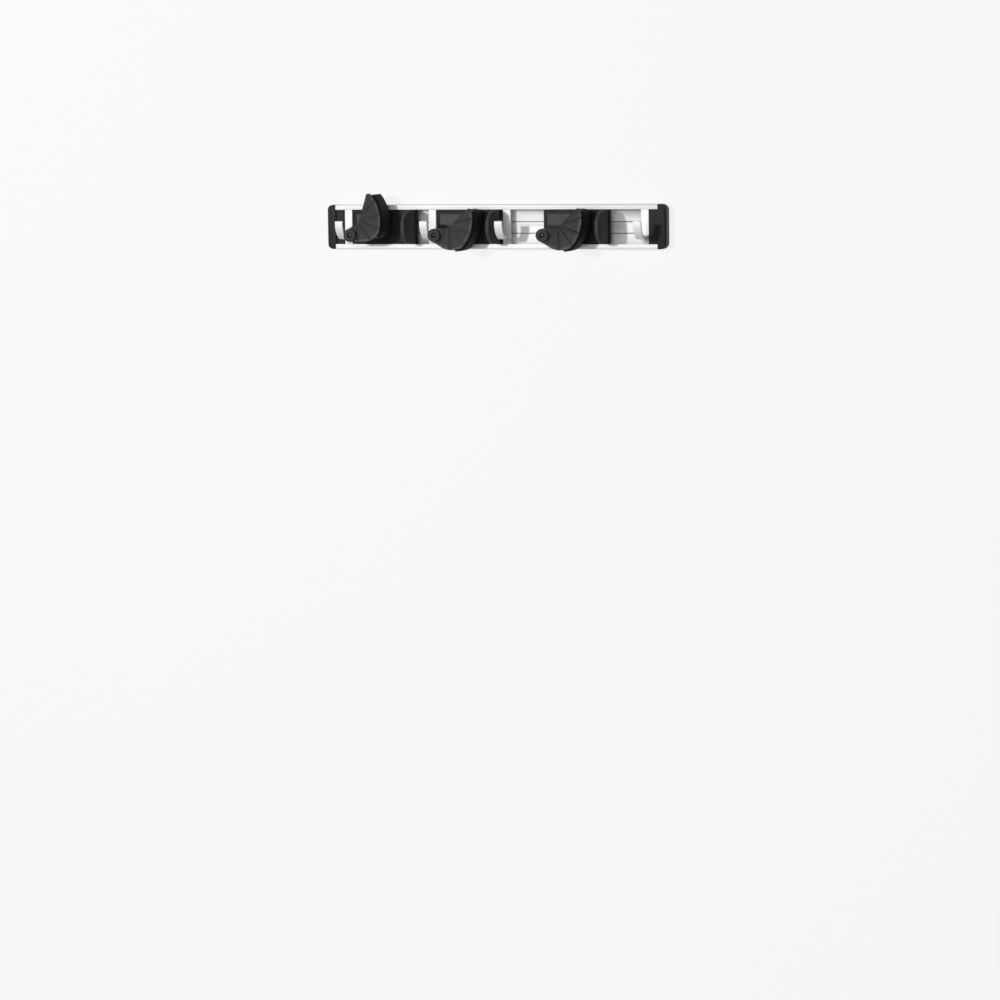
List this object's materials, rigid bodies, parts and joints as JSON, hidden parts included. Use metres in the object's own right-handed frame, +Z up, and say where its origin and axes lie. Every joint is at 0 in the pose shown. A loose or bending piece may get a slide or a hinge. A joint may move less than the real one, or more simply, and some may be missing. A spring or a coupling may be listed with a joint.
{
  "type": "wall mop holder rack",
  "caption": "Aluminium wall rail with end caps that carries sliding J hooks and sliding holders, each with a gravity cam that pinches a tool handle against a soft jaw.",
  "frame": {"origin": "middle of the rail's back face, on the wall", "axes": "+X along the rail to the right seen from the front, +Y into the wall, +Z up"},
  "size_m": [0.4, 0.05, 0.0652],
  "materials": {
    "rail": "satin anodised",
    "hook": "bright satin",
    "cap": "fine grain, matte",
    "holder": "fine grain, matte",
    "cam": "fine grain, matte",
    "tyre": "soft, matte",
    "jaw": "soft, matte",
    "pin": "dark burnished"
  },
  "bodies": {
    "rack": {"rail": "rail", "left_end_cap": "cap", "right_end_cap": "cap"},
    "holder_1": {"holder_base_1": "holder", "jaw_1": "jaw", "pivot_pin_1": "pin"},
    "gripper_1": {"cam_1": "cam", "cam_tyre_1": "tyre"},
    "holder_2": {"holder_base_2": "holder", "jaw_2": "jaw", "pivot_pin_2": "pin"},
    "gripper_2": {"cam_2": "cam", "cam_tyre_2": "tyre"},
    "holder_3": {"holder_base_3": "holder", "jaw_3": "jaw", "pivot_pin_3": "pin"},
    "gripper_3": {"cam_3": "cam", "cam_tyre_3": "tyre"},
    "sliding_hook_1": {"hook_1": "hook"},
    "sliding_hook_2": {"hook_2": "hook"},
    "sliding_hook_3": {"hook_3": "hook"},
    "sliding_hook_4": {"hook_4": "hook"}
  },
  "joints": [
    {"name": "holder_1_slide", "type": "slide", "parent": "rack", "child": "holder_1", "axis": [1, 0, 0], "range_m": [-0.0006, 0.0065]},
    {"name": "cam_1_swing", "type": "hinge", "parent": "holder_1", "child": "gripper_1", "pos_m": [-0.16023, -0.03, -0.0082], "axis": [0, -1, 0], "range_deg": [-30, 30]},
    {"name": "holder_2_slide", "type": "slide", "parent": "rack", "child": "holder_2", "axis": [1, 0, 0], "range_m": [-0.0003, 0.0006]},
    {"name": "cam_2_swing", "type": "hinge", "parent": "holder_2", "child": "gripper_2", "pos_m": [-0.05996, -0.03, -0.0082], "axis": [0, -1, 0], "range_deg": [0, 60]},
    {"name": "holder_3_slide", "type": "slide", "parent": "rack", "child": "holder_3", "axis": [1, 0, 0], "range_m": [-0.0195, 0.0175]},
    {"name": "cam_3_swing", "type": "hinge", "parent": "holder_3", "child": "gripper_3", "pos_m": [0.06703, -0.03, -0.0082], "axis": [0, -1, 0], "range_deg": [0, 60]},
    {"name": "hook_1_slide", "type": "slide", "parent": "rack", "child": "sliding_hook_1", "axis": [1, 0, 0], "range_m": [-0.0002, 0.0006]},
    {"name": "hook_2_slide", "type": "slide", "parent": "rack", "child": "sliding_hook_2", "axis": [1, 0, 0], "range_m": [-0.0065, 0.0003]},
    {"name": "hook_3_slide", "type": "slide", "parent": "rack", "child": "sliding_hook_3", "axis": [1, 0, 0], "range_m": [-0.0006, 0.0195]},
    {"name": "hook_4_slide", "type": "slide", "parent": "rack", "child": "sliding_hook_4", "axis": [1, 0, 0], "range_m": [-0.0175, 0.0002]}
  ]
}
